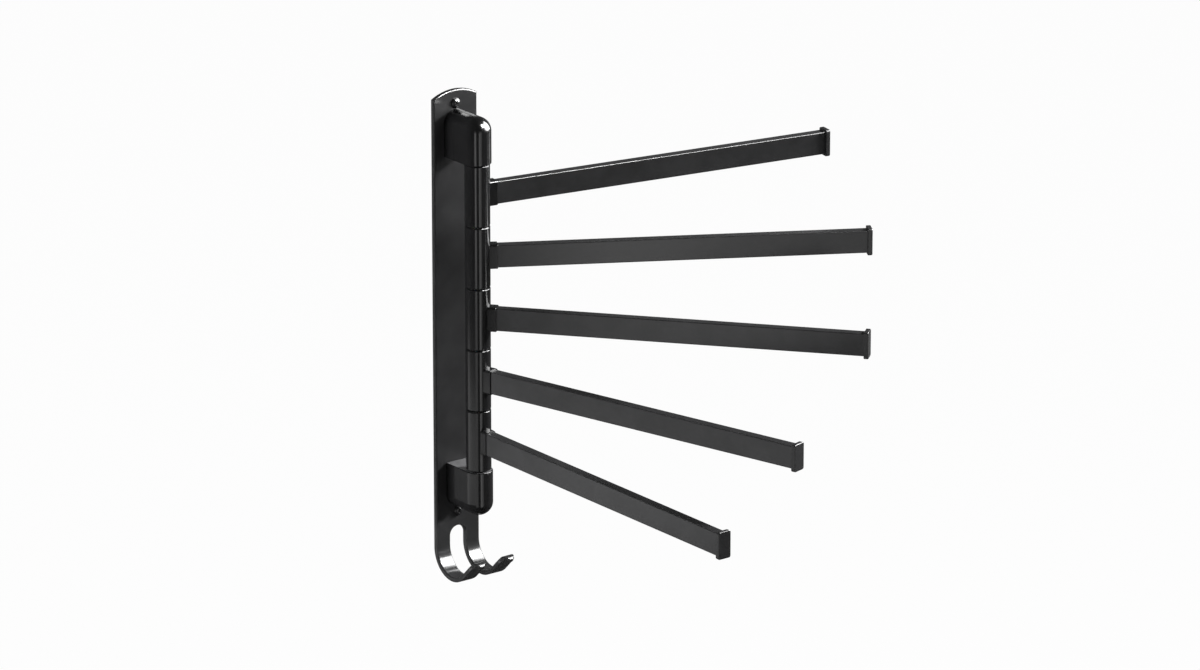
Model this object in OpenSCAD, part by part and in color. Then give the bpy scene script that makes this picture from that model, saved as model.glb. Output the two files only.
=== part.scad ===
// Wall towel rack with five swing arms on one upright pivot, and a twin J hook below.
// Frame: the wall is the plane Y = 0, the rack stands out towards -Y, +X is right, +Z is up.
// The origin is midway between the two wall screws, on the wall.

/* [Back plate] */
// Width of the back plate
plate_w = 46; // [40:1:60]
// Thickness of the back plate and of the hooks
plate_t = 4; // [3:0.5:6]
// Rise of the arched top edge, from its ends to its middle
plate_top_rise = 6; // [2:0.5:10]
// Plate above the centre of the upper wall screw
plate_top_margin = 12; // [10:1:20]

/* [Hooks] */
// Width of the slot between the two hooks
slot_w = 16; // [12:1:20]
// Top of the slot below the centre of the lower wall screw
slot_drop = 14; // [11:1:20]
// Start of the bend below the centre of the lower wall screw
hook_drop = 29.5; // [27:0.5:45]
// Inside radius of the J bend
hook_r = 21; // [15:1:26]
// Angle that the J bend turns through
hook_turn = 135; // [120:5:150]
// Straight lip after the J bend
lip_len = 18; // [12:1:24]
// Inside radius of the curled tip
curl_r = 1; // [0.5:0.5:3]
// Angle that the tip curls back through
curl_turn = 90; // [70:5:110]
// Straight end of the curled tip
tab_len = 2; // [1:0.5:4]
// Radius of the tapering sides of each tip
tip_side_r = 12; // [10:1:18]
// Width of the flat end of each tip
tip_w = 4; // [3:0.5:8]

/* [Pivot] */
// Distance from the wall to the pivot axis
pivot_out = 34.5; // [32:0.5:50]
// Spacing of the arms along the pivot
barrel_pitch = 55; // [45:1:70]
// Outer radius of the swivel barrels
barrel_r = 11; // [10.5:0.5:14]
// Clear gap between one barrel and the next
barrel_gap = 0.5; // [0.3:0.1:1]
// Radius of the pivot rod
rod_r = 4; // [3:0.25:5]
// Depth of the rod's seat in each bracket
rod_seat = 22; // [14:1:26]

/* [Bushes] */
// Wall of a bush around the rod
bush_wall = 2; // [1.5:0.25:2.5]
// Length of a bush inside its barrel
bush_len = 12; // [8:1:20]
// How far the flange of a bush is wider than its sleeve
flange_lip = 2.4; // [1.5:0.1:3]
// Thickness of the flange of a bush
flange_t = 1.5; // [1:0.1:2]

/* [Brackets] */
// Depth of the recess under each bracket that takes the spring or the washer
recess_d = 1.25; // [1:0.05:1.75]
// Half width of a bracket, and the radius of its dome and arched roof
bracket_r = 12.3; // [11.5:0.1:16]
// Height of a bracket from its flat face to its crest
bracket_h = 41; // [38:1:50]
// Height of the first bracket screw above the bracket's flat face
bracket_screw_z = 9; // [7:1:12]
// Spacing of the two bracket screws
bracket_screw_pitch = 16; // [12:1:20]
// Radius of the bracket screws
bracket_screw_r = 2; // [1.5:0.1:2.5]
// Depth of a bracket screw inside its bracket
bracket_screw_bite = 12; // [8:1:14]

/* [Arms] */
// Reach of an arm from the pivot axis to the outer face of its end cap
arm_reach = 340.5; // [240:0.5:460]
// Height of a bar
bar_h = 20; // [16:1:26]
// Thickness of a bar
bar_t = 9; // [8:0.5:12]
// Wall of the bar's hollow section
bar_wall = 1.2; // [1:0.1:1.6]
// Radius of the bar's long edges
bar_edge_r = 0.8; // [0.5:0.1:1.2]
// Outward angle of each arm from the wall in the stored pose, top arm first
arm_angles = [10, 30, 50, 75, 90]; // [0:5:180]

/* [Root sockets] */
// How far a root socket stands proud of its bar
socket_lip = 1; // [0.8:0.1:2]
// Length of a root socket beyond its barrel
socket_len = 6; // [5:0.5:10]
// Depth of the bar inside its root socket
socket_depth = 5; // [3:0.5:5]
// Length of the spigot inside the bar, beyond the socket
spigot_len = 18; // [14:1:30]
// Radius of the set screw under each bar
set_screw_r = 2; // [1.5:0.1:2.5]
// Length of the set screw
set_screw_len = 6; // [4:0.5:8]

/* [End caps] */
// How far an end cap stands proud of its bar
cap_lip = 2; // [1:0.25:3]
// Thickness of an end cap
cap_len = 4; // [3:0.5:6]
// Radius of the corners of an end cap
cap_corner_r = 1.8; // [1:0.1:2.5]
// Length of the tongue that holds an end cap in its bar
cap_tongue = 14; // [8:1:24]

/* [Wall screws] */
// Radius of a wall screw's thread behind the plate
stud_r = 2.4; // [2:0.1:3]
// Length of a wall screw under its head
wall_screw_len = 22; // [20:1:32]
// Radius of a wall screw's pan head
pan_r = 4.5; // [4:0.1:5.5]
// Height of a wall screw's pan head
pan_h = 3; // [2.5:0.1:4]
// Gap between a wall screw's head and the crest of the bracket beside it
pan_gap = 0.5; // [0.5:0.1:4]

/* [Hidden] */
// Part to draw, or all of them
// Names of the parts
$fn = 64;

// Colours as the photograph shows them, and plain ones for what is hidden
coat_black = [0.055, 0.055, 0.06];
screw_black = [0.09, 0.09, 0.095];
steel_grey = [0.62, 0.63, 0.65];
nylon_white = [0.85, 0.85, 0.82];

// Clearances
run_fit = 0.05;        // rod in its bushes
seat_fit = 0.05;       // rod in its bracket seats
press_fit = 0.02;      // bush in its barrel
slip_fit = 0.1;        // bar around its spigot and its cap's tongue, and inside its socket
hole_clear = 0.2;      // screws through the plate
end_clear = 0.5;       // beyond the ends of the rod and of the bracket screws
flange_proud = 0.1;    // flange of a bush beyond its barrel
spring_clear = 0.3;    // spring or washer to the flange of the next bush
over = 1;              // overrun of every cut

// Heights on the pivot
arm_count = len(arm_angles);
stack_half = arm_count * barrel_pitch / 2;
bracket_z = stack_half + barrel_gap / 2;
dome_z = bracket_h - bracket_r;
screw_z = bracket_z + bracket_h + pan_r + pan_gap;
plate_top = screw_z + plate_top_margin;
slot_top = -screw_z - slot_drop;
bend_z = -screw_z - hook_drop;
rod_half = bracket_z + rod_seat - end_clear;
barrel_h = barrel_pitch - barrel_gap;
arch_r = (pow(plate_w / 2, 2) + pow(plate_top_rise, 2)) / (2 * plate_top_rise);

// Bushes, spring and washer
bush_bore_r = rod_r + run_fit;
bush_r = bush_bore_r + bush_wall;
flange_r = bush_r + flange_lip;
barrel_bore_r = bush_r + press_fit;
counterbore_r = flange_r + press_fit;
counterbore_d = flange_t - flange_proud;
washer_t = recess_d + barrel_gap - flange_proud - spring_clear;
washer_bore_r = rod_r + hole_clear;
recess_r = flange_r + hole_clear;
spring_t = washer_t / 2;

// Hook bend and tip, in the plane across the wall
hook_out_r = hook_r + plate_t;
lip_dir = [-sin(hook_turn), -cos(hook_turn)];
lip_side = [cos(hook_turn), -sin(hook_turn)];
tab_turn = hook_turn - curl_turn;
tab_dir = [-sin(tab_turn), -cos(tab_turn)];
tab_side = [cos(tab_turn), -sin(tab_turn)];
bend_centre = [-hook_out_r, bend_z];
curl_centre = bend_centre + lip_len * lip_dir + (hook_out_r + curl_r) * lip_side;
tip_out = curl_centre[0] - (curl_r + plate_t) * tab_side[0] + tab_len * tab_dir[0];
prong_w = (plate_w - slot_w) / 2;
prong_x = (plate_w - prong_w) / 2;
tip_cut = (prong_w - tip_w) / 2;
tip_run = sqrt(2 * tip_side_r * tip_cut - tip_cut * tip_cut);

// Arms, each built along +X from the pivot axis
socket_end = barrel_r + socket_len;
socket_floor = socket_end - socket_depth;
bar_start = socket_floor + slip_fit;
bar_end = arm_reach - cap_len;
inner_h = bar_h - 2 * bar_wall;
inner_t = bar_t - 2 * bar_wall;
tongue_h = inner_h - 2 * slip_fit;
tongue_t = inner_t - 2 * slip_fit;
set_screw_x = socket_end + spigot_len / 2;

// Wall screws
neck_r = stud_r + hole_clear;
plate_hole_r = neck_r + hole_clear;
stud_tip = 2 * stud_r;
recess_w_share = 0.24;
recess_l_share = 1.1;
recess_d_share = 0.55;
dome_share = 1.25;

// Bracket screws
sink_r = 2 * bracket_screw_r;
sink_inset = hole_clear;
cone_r = sink_r + sink_inset + run_fit;

// One bend of the sheet, seen from the side: it comes down at the right of the centre,
// turns through an angle towards the left and runs on straight
module sheet_bend(r, turn, before, after) {
    r_out = r + plate_t;
    reach = r_out + before + after + over;
    side = [cos(turn), -sin(turn)];
    along = [-sin(turn), -cos(turn)];
    difference() {
        union() {
            circle(r = r_out);
            square([r_out, before]);
            polygon([[0, 0], r_out * side, r_out * side + (after + over) * along, (after + over) * along]);
        }
        circle(r = r);
        // Open side of the bend, and what lies beyond its straight end
        polygon([
            [0, 0],
            [r, 0],
            [r, reach],
            [-reach, reach],
            (r_out + over) * side + reach * along,
            (r_out + over) * side + after * along,
            r * side + after * along,
            r * side
        ]);
    }
}

// Side view of the J bend, the lip and the curled tip
module hook_profile() {
    translate(bend_centre) sheet_bend(hook_r, hook_turn, over, lip_len);
    translate(curl_centre)
        rotate(-hook_turn)
            mirror([1, 0])
                sheet_bend(curl_r, curl_turn, over, tab_len);
}

// Rectangle with true round corners, centred
module round_rect(w, h, r) {
    square([w - 2 * r, h], center = true);
    square([w, h - 2 * r], center = true);
    for (sx = [-1, 1], sy = [-1, 1])
        translate([sx * (w / 2 - r), sy * (h / 2 - r)]) circle(r = r);
}

// Block of bar section along +X between two distances
module section(x0, x1, h, t, r) {
    translate([x0, 0, 0])
        rotate([90, 0, 90])
            linear_extrude(x1 - x0)
                round_rect(t, h, r);
}

// Front view of the flat plate, with its arched top
module plate_outline() {
    intersection() {
        translate([-plate_w / 2, bend_z]) square([plate_w, plate_top - bend_z]);
        translate([0, plate_top - arch_r]) circle(r = arch_r, $fn = 128);
    }
    translate([-plate_w / 2, bend_z]) square([plate_w, plate_top - arch_r - bend_z]);
}

// Heights of the bracket screws, on both brackets
function bracket_screw_heights() = [
    for (s = [-1, 1], k = [0, 1]) s * (bracket_z + bracket_screw_z + k * bracket_screw_pitch)
];

// Cuts that taper one prong's tip from both sides
module tip_cuts(x) {
    start = tip_out + tip_run;
    for (s = [-1, 1])
        translate([x, start, -2 * plate_top])
            linear_extrude(2 * plate_top)
                difference() {
                    translate([s > 0 ? tip_w / 2 : -prong_w / 2 - over, -tip_run - over])
                        square([tip_cut + over, tip_run + over]);
                    translate([s * (prong_w / 2 - tip_side_r), 0]) circle(r = tip_side_r);
                }
}

module back_plate() {
    color(coat_black)
    difference() {
        union() {
            rotate([90, 0, 0]) linear_extrude(plate_t) plate_outline();
            translate([-plate_w / 2, 0, 0])
                rotate([90, 0, 90])
                    linear_extrude(plate_w)
                        hook_profile();
        }
        // Slot between the hooks, round at its top
        translate([0, over, slot_top - slot_w / 2])
            rotate([90, 0, 0])
                cylinder(r = slot_w / 2, h = plate_t + 2 * over);
        translate([-slot_w / 2, tip_out - over, -2 * plate_top])
            cube([slot_w, over - tip_out + over, slot_top - slot_w / 2 + 2 * plate_top]);
        for (s = [-1, 1]) tip_cuts(s * prong_x);
        // Holes for the wall screws
        for (s = [-1, 1])
            translate([0, over, s * screw_z])
                rotate([90, 0, 0])
                    cylinder(r = plate_hole_r, h = plate_t + 2 * over);
        // Countersunk holes for the bracket screws, from behind
        for (z = bracket_screw_heights()) {
            translate([0, over, z])
                rotate([90, 0, 0])
                    cylinder(r = bracket_screw_r + hole_clear, h = plate_t + 2 * over);
            translate([0, over, z])
                rotate([90, 0, 0])
                    cylinder(r1 = cone_r + over, r2 = 0, h = cone_r + over);
        }
    }
}

// A bracket with its flat face down at Z = 0
module bracket() {
    difference() {
        union() {
            translate([0, -pivot_out, 0]) cylinder(r = bracket_r, h = dome_z);
            translate([0, -pivot_out, dome_z]) sphere(r = bracket_r);
            translate([0, -plate_t, dome_z])
                rotate([90, 0, 0])
                    cylinder(r = bracket_r, h = pivot_out - plate_t);
            translate([-bracket_r, -pivot_out, 0])
                cube([2 * bracket_r, pivot_out - plate_t, dome_z]);
        }
        // Seat of the pivot rod, and the recess of the spring or washer
        translate([0, -pivot_out, -over]) cylinder(r = rod_r + seat_fit, h = rod_seat + over);
        translate([0, -pivot_out, -over]) cylinder(r = recess_r, h = recess_d + over);
        // Threaded holes for the bracket screws
        for (k = [0, 1])
            translate([0, over - plate_t, bracket_screw_z + k * bracket_screw_pitch])
                rotate([90, 0, 0])
                    cylinder(
                        r = bracket_screw_r + run_fit,
                        h = bracket_screw_bite + end_clear + over
                    );
    }
}

module top_bracket() {
    color(coat_black) translate([0, 0, bracket_z]) bracket();
}

module bottom_bracket() {
    color(coat_black) translate([0, 0, -bracket_z]) mirror([0, 0, 1]) bracket();
}

// Countersunk screws through the plate into the brackets, heads just below its back face
module bracket_screws() {
    color(screw_black)
    for (z = bracket_screw_heights())
        translate([0, -sink_inset, z])
            rotate([90, 0, 0]) {
                cylinder(r = bracket_screw_r, h = plate_t - sink_inset + bracket_screw_bite);
                cylinder(r1 = sink_r, r2 = bracket_screw_r, h = sink_r - bracket_screw_r);
            }
}

module pivot_rod() {
    color(steel_grey) translate([0, -pivot_out, -rod_half]) cylinder(r = rod_r, h = 2 * rod_half);
}

// Cone spring in the top bracket, which presses the barrels together
module friction_spring() {
    color(steel_grey)
    translate([0, -pivot_out, bracket_z + recess_d - washer_t])
        rotate_extrude()
            polygon([
                [washer_bore_r, washer_t - spring_t],
                [flange_r, 0],
                [flange_r, spring_t],
                [washer_bore_r, washer_t]
            ]);
}

module thrust_washer() {
    color(steel_grey)
    translate([0, -pivot_out, -bracket_z - recess_d])
        difference() {
            cylinder(r = flange_r, h = washer_t);
            translate([0, 0, -over]) cylinder(r = washer_bore_r, h = washer_t + 2 * over);
        }
}

// Pan head with a cross recess, its flat underside at Z = 0 and its crown towards +Z
module pan_head() {
    ball_r = pan_r * dome_share;
    difference() {
        intersection() {
            cylinder(r = pan_r, h = pan_h);
            translate([0, 0, pan_h - ball_r]) sphere(r = ball_r, $fn = 96);
        }
        for (a = [0, 90])
            rotate([0, 0, a])
                translate([
                    -pan_r * recess_l_share / 2,
                    -pan_r * recess_w_share / 2,
                    pan_h - pan_h * recess_d_share
                ])
                    cube([pan_r * recess_l_share, pan_r * recess_w_share, pan_h]);
    }
}

// Wall screws in place: head on the plate, neck in its hole, thread behind it in the wall
module wall_screws() {
    color(screw_black)
    for (s = [-1, 1])
        translate([0, 0, s * screw_z]) {
            translate([0, -plate_t, 0]) rotate([90, 0, 0]) pan_head();
            translate([0, -plate_t, 0]) rotate([-90, 0, 0]) cylinder(r = neck_r, h = plate_t);
            rotate([-90, 0, 0]) {
                cylinder(r = stud_r, h = wall_screw_len - plate_t - stud_tip);
                translate([0, 0, wall_screw_len - plate_t - stud_tip])
                    cylinder(r1 = stud_r, r2 = 0, h = stud_tip);
            }
        }
}

// Puts a piece of arm i, built along +X, on the pivot at its height and angle
module place_arm(i) {
    translate([0, -pivot_out, ((arm_count + 1) / 2 - i) * barrel_pitch])
        rotate([0, 0, -arm_angles[i - 1]])
            children();
}

// Barrel with the root socket and the spigot that carry the bar
module swivel_barrel(i) {
    socket_h = bar_h + 2 * socket_lip;
    socket_t = bar_t + 2 * socket_lip;
    color(coat_black)
    place_arm(i)
        difference() {
            union() {
                translate([0, 0, -barrel_h / 2]) cylinder(r = barrel_r, h = barrel_h);
                difference() {
                    section(0, socket_end, socket_h, socket_t, bar_edge_r + socket_lip);
                    section(
                        socket_floor, socket_end + over,
                        bar_h + 2 * slip_fit, bar_t + 2 * slip_fit, bar_edge_r
                    );
                }
                section(0, socket_end + spigot_len, tongue_h, tongue_t, bar_edge_r);
            }
            translate([0, 0, -barrel_h / 2 - over])
                cylinder(r = barrel_bore_r, h = barrel_h + 2 * over);
            for (s = [-1, 1])
                translate([0, 0, s * (barrel_h / 2 - counterbore_d / 2 + over / 2)])
                    cylinder(r = counterbore_r, h = counterbore_d + over, center = true);
            translate([set_screw_x, 0, -bar_h / 2])
                cylinder(r = set_screw_r + run_fit, h = set_screw_len + end_clear);
        }
}

// The two flanged bushes of one barrel
module pivot_bushes(i) {
    color(nylon_white)
    place_arm(i)
        for (s = [0, 1])
            mirror([0, 0, s])
                difference() {
                    union() {
                        translate([0, 0, barrel_h / 2 - counterbore_d - bush_len])
                            cylinder(r = bush_r, h = bush_len + flange_t);
                        translate([0, 0, barrel_h / 2 - counterbore_d])
                            cylinder(r = flange_r, h = flange_t);
                    }
                    translate([0, 0, barrel_h / 2 - counterbore_d - bush_len - over])
                        cylinder(r = bush_bore_r, h = bush_len + flange_t + 2 * over);
                }
}

module bar(i) {
    color(coat_black)
    place_arm(i)
        difference() {
            section(bar_start, bar_end, bar_h, bar_t, bar_edge_r);
            section(bar_start - over, bar_end + over, inner_h, inner_t, bar_edge_r);
            translate([set_screw_x, 0, -bar_h / 2 - over])
                cylinder(r = set_screw_r + hole_clear, h = bar_wall + 2 * over);
        }
}

module end_cap(i) {
    color(coat_black)
    place_arm(i) {
        section(bar_end, arm_reach, bar_h + 2 * cap_lip, bar_t + 2 * cap_lip, cap_corner_r);
        section(bar_end - cap_tongue, bar_end, tongue_h, tongue_t, bar_edge_r);
    }
}

module set_screw(i) {
    color(screw_black)
    place_arm(i)
        translate([set_screw_x, 0, -bar_h / 2]) cylinder(r = set_screw_r, h = set_screw_len);
}

back_plate();
top_bracket();
bottom_bracket();
bracket_screws();
pivot_rod();
friction_spring();
thrust_washer();
wall_screws();
swivel_barrel(1);  // swivel_barrel_1
swivel_barrel(2);  // swivel_barrel_2
swivel_barrel(3);  // swivel_barrel_3
swivel_barrel(4);  // swivel_barrel_4
swivel_barrel(5);  // swivel_barrel_5
pivot_bushes(1);  // pivot_bushes_1
pivot_bushes(2);  // pivot_bushes_2
pivot_bushes(3);  // pivot_bushes_3
pivot_bushes(4);  // pivot_bushes_4
pivot_bushes(5);  // pivot_bushes_5
bar(1);  // bar_1
bar(2);  // bar_2
bar(3);  // bar_3
bar(4);  // bar_4
bar(5);  // bar_5
end_cap(1);  // end_cap_1
end_cap(2);  // end_cap_2
end_cap(3);  // end_cap_3
end_cap(4);  // end_cap_4
end_cap(5);  // end_cap_5
set_screw(1);  // set_screw_1
set_screw(2);  // set_screw_2
set_screw(3);  // set_screw_3
set_screw(4);  // set_screw_4
set_screw(5);  // set_screw_5
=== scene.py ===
"""Looks of the wall towel rack with five swing arms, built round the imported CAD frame."""

import logging
import math
from dataclasses import dataclass
from enum import Enum
from typing import Any, Optional, Sequence

import bmesh
import bpy
from mathutils import Matrix, Vector


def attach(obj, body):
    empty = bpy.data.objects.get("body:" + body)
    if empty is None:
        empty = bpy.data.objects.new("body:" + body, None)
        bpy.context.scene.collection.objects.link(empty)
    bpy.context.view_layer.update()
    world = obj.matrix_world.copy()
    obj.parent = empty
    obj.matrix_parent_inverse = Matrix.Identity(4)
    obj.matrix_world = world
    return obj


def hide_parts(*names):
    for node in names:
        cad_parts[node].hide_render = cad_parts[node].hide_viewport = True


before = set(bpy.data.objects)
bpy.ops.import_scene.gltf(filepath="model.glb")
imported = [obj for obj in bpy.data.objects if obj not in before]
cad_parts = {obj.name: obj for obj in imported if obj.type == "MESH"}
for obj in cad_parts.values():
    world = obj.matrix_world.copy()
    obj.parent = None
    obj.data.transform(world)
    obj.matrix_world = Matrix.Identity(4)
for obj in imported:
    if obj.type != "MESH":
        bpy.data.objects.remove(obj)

LOG = logging.getLogger("towel_rack")
MM = 0.001
WELD = 1e-7
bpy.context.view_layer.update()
Point = tuple[float, float]
Place = tuple[float, float, float]
Outline = list[Point]
Ring = list[Vector]


# Node trees


class Sock:
    """A node socket whose arithmetic adds Math nodes to its tree."""

    def __init__(self, graph: "Graph", link: Any) -> None:
        """Keeps the tree and the socket."""
        self.graph = graph
        self.link = link

    def _math(self, operation: str, *values: Any) -> "Sock":
        """Adds one Math node and returns its value."""
        return self.graph.node("ShaderNodeMath", {"operation": operation}, dict(enumerate(values)))[0]

    def __add__(self, other: Any) -> "Sock":
        """Sum of two values."""
        return self._math("ADD", self, other)

    def __radd__(self, other: Any) -> "Sock":
        """Sum with a number on the left."""
        return self._math("ADD", other, self)

    def __sub__(self, other: Any) -> "Sock":
        """Difference of two values."""
        return self._math("SUBTRACT", self, other)

    def __rsub__(self, other: Any) -> "Sock":
        """Difference from a number on the left."""
        return self._math("SUBTRACT", other, self)

    def __mul__(self, other: Any) -> "Sock":
        """Product of two values."""
        return self._math("MULTIPLY", self, other)

    def __rmul__(self, other: Any) -> "Sock":
        """Product with a number on the left."""
        return self._math("MULTIPLY", other, self)

    def __truediv__(self, other: Any) -> "Sock":
        """Quotient of two values."""
        return self._math("DIVIDE", self, other)

    def __rtruediv__(self, other: Any) -> "Sock":
        """Quotient with a number on the left."""
        return self._math("DIVIDE", other, self)

    def __neg__(self) -> "Sock":
        """The value with its sign turned."""
        return self._math("MULTIPLY", self, -1.0)

    def sin(self) -> "Sock":
        """Sine of an angle in radians."""
        return self._math("SINE", self)

    def cos(self) -> "Sock":
        """Cosine of an angle in radians."""
        return self._math("COSINE", self)

    def least(self, other: Any) -> "Sock":
        """The smaller of two values."""
        return self._math("MINIMUM", self, other)

    def most(self, other: Any) -> "Sock":
        """The larger of two values."""
        return self._math("MAXIMUM", self, other)

    def between(self, low: Any, high: Any) -> "Sock":
        """The value, kept from low to high."""
        return self.most(low).least(high)

    def ease(self, start: float, end: float) -> "Sock":
        """0 before start and 1 after end, with a smooth rise between them.

        Args:
            start: Where it begins to rise.
            end: Where it is 1.

        Returns:
            The eased value.
        """
        settings = {"interpolation_type": "SMOOTHSTEP", "clamp": True}
        values = {"Value": self, "From Min": start, "From Max": end, "To Min": 0.0, "To Max": 1.0}
        return self.graph.node("ShaderNodeMapRange", settings, values)["Result"]


class Outputs:
    """The output sockets of one node, by name or number."""

    def __init__(self, graph: "Graph", made: bpy.types.Node) -> None:
        """Keeps the tree and the node."""
        self.graph = graph
        self.made = made

    def __getitem__(self, key: Any) -> Sock:
        """One output, wrapped."""
        return Sock(self.graph, self.made.outputs[key])


class Graph:
    """A node tree that is filled node by node."""

    def __init__(self, tree: bpy.types.NodeTree) -> None:
        """Keeps the tree and empties it."""
        self.tree = tree
        tree.nodes.clear()

    def node(self, kind: str, settings: Optional[dict] = None, values: Optional[dict] = None) -> Outputs:
        """Adds one node.

        Args:
            kind: Blender's name of the node's type.
            settings: Its properties. A ramp's stops are given under "stops" as (place, colour).
            values: What its inputs hold, by name or number: a number, a colour or a Sock.

        Returns:
            Its outputs.
        """
        made = self.tree.nodes.new(kind)
        for name, setting in (settings or {}).items():
            if name == "stops":
                ramp = made.color_ramp
                while len(ramp.elements) > 1:
                    ramp.elements.remove(ramp.elements[0])
                ramp.elements[0].position, ramp.elements[0].color = setting[0]
                for place, colour in setting[1:]:
                    ramp.elements.new(place).color = colour
            else:
                setattr(made, name, setting)
        for key, value in (values or {}).items():
            if isinstance(value, Sock):
                self.tree.links.new(value.link, made.inputs[key])
            else:
                made.inputs[key].default_value = value
        return Outputs(self, made)


# Finishes


def blank_look(name: str) -> tuple[bpy.types.Material, Graph]:
    """Makes a material.

    Args:
        name: Its name.

    Returns:
        The material and its empty node tree.
    """
    made = bpy.data.materials.new(name)
    made.use_nodes = True
    return made, Graph(made.node_tree)


@dataclass(frozen=True)
class Finish:
    """A finish of the rack, as a procedural material.

    Soft patches tint its colour and vary its sheen. A finer grain varies its sheen and gives its relief.
    """

    name: str
    slot: str
    colour: Place
    roughness: float
    turned: float = 0.0
    patch_mm: float = 6.0
    patch_detail: float = 2.0
    patch_rise: Optional[Point] = None
    patch_swing: float = 0.0
    tint: Point = (0.9, 1.1)
    grain_mm: float = 0.35
    grain_detail: float = 2.0
    grain_stretch: Place = (1.0, 1.0, 1.0)
    grain_swing: float = 0.0
    grain_depth_mm: float = 0.004
    plain: tuple[tuple[str, float], ...] = ()

    def dress(self, graph: Graph, place: Sock) -> dict:
        """The shader's inputs for this finish.

        Args:
            graph: The material's tree.
            place: Object coordinates in metres, turned along the piece.

        Returns:
            Values of the Principled shader's inputs by name.
        """
        patch = self.noise(graph, place, self.patch_mm, self.patch_detail)
        grain = self.noise(graph, place, self.grain_mm, self.grain_detail, self.grain_stretch)
        amount = patch.ease(*self.patch_rise) if self.patch_rise else patch
        stops = [(float(spot), (*(part * share for part in self.colour), 1.0))
                 for spot, share in enumerate(self.tint)]
        return {
            "Base Color": graph.node("ShaderNodeValToRGB", {"stops": stops}, {"Fac": amount})["Color"],
            "Roughness": self.roughness + (patch - 0.5) * self.patch_swing + (grain - 0.5) * self.grain_swing,
            "Normal": self.bump(graph, grain, self.grain_depth_mm),
            **dict(self.plain),
        }

    def material(self) -> bpy.types.Material:
        """Builds the material once.

        Returns:
            It, or the one built before.
        """
        found = bpy.data.materials.get(self.name)
        if found is not None:
            return found
        made, graph = blank_look(self.name)
        place = graph.node("ShaderNodeMapping", {}, {
            "Vector": graph.node("ShaderNodeTexCoord")["Object"], "Rotation": (0.0, 0.0, self.turned)})[0]
        shader = graph.node("ShaderNodeBsdfPrincipled", {}, self.dress(graph, place))
        graph.node("ShaderNodeOutputMaterial", {}, {"Surface": shader["BSDF"]})
        made.diffuse_color = (*self.colour, 1.0)
        return made

    def noise(self, graph: Graph, place: Sock, grain_mm: float, detail: float = 2.0,
              stretch: Place = (1.0, 1.0, 1.0)) -> Sock:
        """Soft noise from 0 to 1.

        Args:
            graph: The material's tree.
            place: Where it is read.
            grain_mm: Size of one grain.
            detail: How many finer layers are added.
            stretch: Share of the full rate along each axis.

        Returns:
            Its value.
        """
        held = graph.node("ShaderNodeMapping", {}, {"Vector": place, "Scale": stretch})[0]
        values = {"Vector": held, "Scale": 1.0 / (grain_mm * MM), "Detail": detail, "Roughness": 0.5}
        return graph.node("ShaderNodeTexNoise", {}, values)["Fac"]

    def bump(self, graph: Graph, height: Sock, depth_mm: float) -> Sock:
        """A normal that follows a height from 0 to 1 over a depth."""
        values = {"Strength": 1.0, "Distance": depth_mm * MM, "Height": height}
        return graph.node("ShaderNodeBump", {}, values)["Normal"]


@dataclass(frozen=True)
class StovedCoat(Finish):
    """Black stoved coat: a faint orange peel, patches of slightly differing sheen, and a little dust."""

    patch_mm: float = 24.0
    patch_detail: float = 3.0
    patch_rise: Optional[Point] = (0.3, 0.7)
    patch_swing: float = 0.05
    tint: Point = (0.88, 1.12)
    grain_mm: float = 1.1
    grain_detail: float = 1.5
    dust_mm: float = 0.25
    dust_detail: float = 1.0
    dust_swing: float = 0.04

    def dress(self, graph: Graph, place: Sock) -> dict:
        """The coat's inputs: a finish's, with dust.

        Args:
            graph: The material's tree.
            place: Object coordinates in metres, turned along the piece.

        Returns:
            Values of the Principled shader's inputs by name.
        """
        inputs = super().dress(graph, place)
        dust = self.noise(graph, place, self.dust_mm, self.dust_detail)
        inputs["Roughness"] = inputs["Roughness"] + (dust - 0.5) * self.dust_swing
        return inputs


@dataclass(frozen=True)
class SheetCoat(StovedCoat):
    """The coat on the sheet: satin on its flat, with a slick topcoat over the hooks and the arched top.

    The topcoat fades between the heights of bend and of arch, in metres. Right of the middle, past
    the distances of beside, it reaches further down, to where the upper bracket's crest mirrors it.
    """

    bend: Point = (-0.2, -0.185)
    arch: Point = (0.186, 0.189)
    beside: Point = (-0.001, 0.002)
    beside_drop: float = 0.012
    slick_roughness: float = 0.14

    def dress(self, graph: Graph, place: Sock) -> dict:
        """The coated sheet's inputs: the coat's, with the topcoat.

        Args:
            graph: The material's tree.
            place: Object coordinates in metres, turned along the piece.

        Returns:
            Values of the Principled shader's inputs by name.
        """
        inputs = super().dress(graph, place)
        spot = graph.node("ShaderNodeSeparateXYZ", {}, {"Vector": place})
        lifted = spot["Z"] + spot["X"].ease(*self.beside) * self.beside_drop
        inputs["Coat Weight"] = 1.0 - spot["Z"].ease(*self.bend) + lifted.ease(*self.arch)
        inputs["Coat Roughness"] = self.slick_roughness
        return inputs


@dataclass(frozen=True)
class DrawnCoat(StovedCoat):
    """The coat over drawn tube, whose long die lines still show a little through it."""

    line_mm: float = 0.7
    line_stretch: float = 0.004
    line_swing: float = 0.05
    line_share: float = 0.6
    line_depth_mm: float = 0.0035

    def dress(self, graph: Graph, place: Sock) -> dict:
        """The coated tube's inputs: the coat's, with the die lines.

        Args:
            graph: The material's tree.
            place: Object coordinates in metres, turned along the piece.

        Returns:
            Values of the Principled shader's inputs by name.
        """
        inputs = super().dress(graph, place)
        lines = self.noise(graph, place, self.line_mm, stretch=(self.line_stretch, 1.0, 1.0))
        peel = self.noise(graph, place, self.grain_mm, self.grain_detail)
        relief = lines * self.line_share + peel * (1.0 - self.line_share)
        inputs["Roughness"] = inputs["Roughness"] + (lines - 0.5) * self.line_swing
        inputs["Normal"] = self.bump(graph, relief, self.line_depth_mm)
        return inputs


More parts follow.
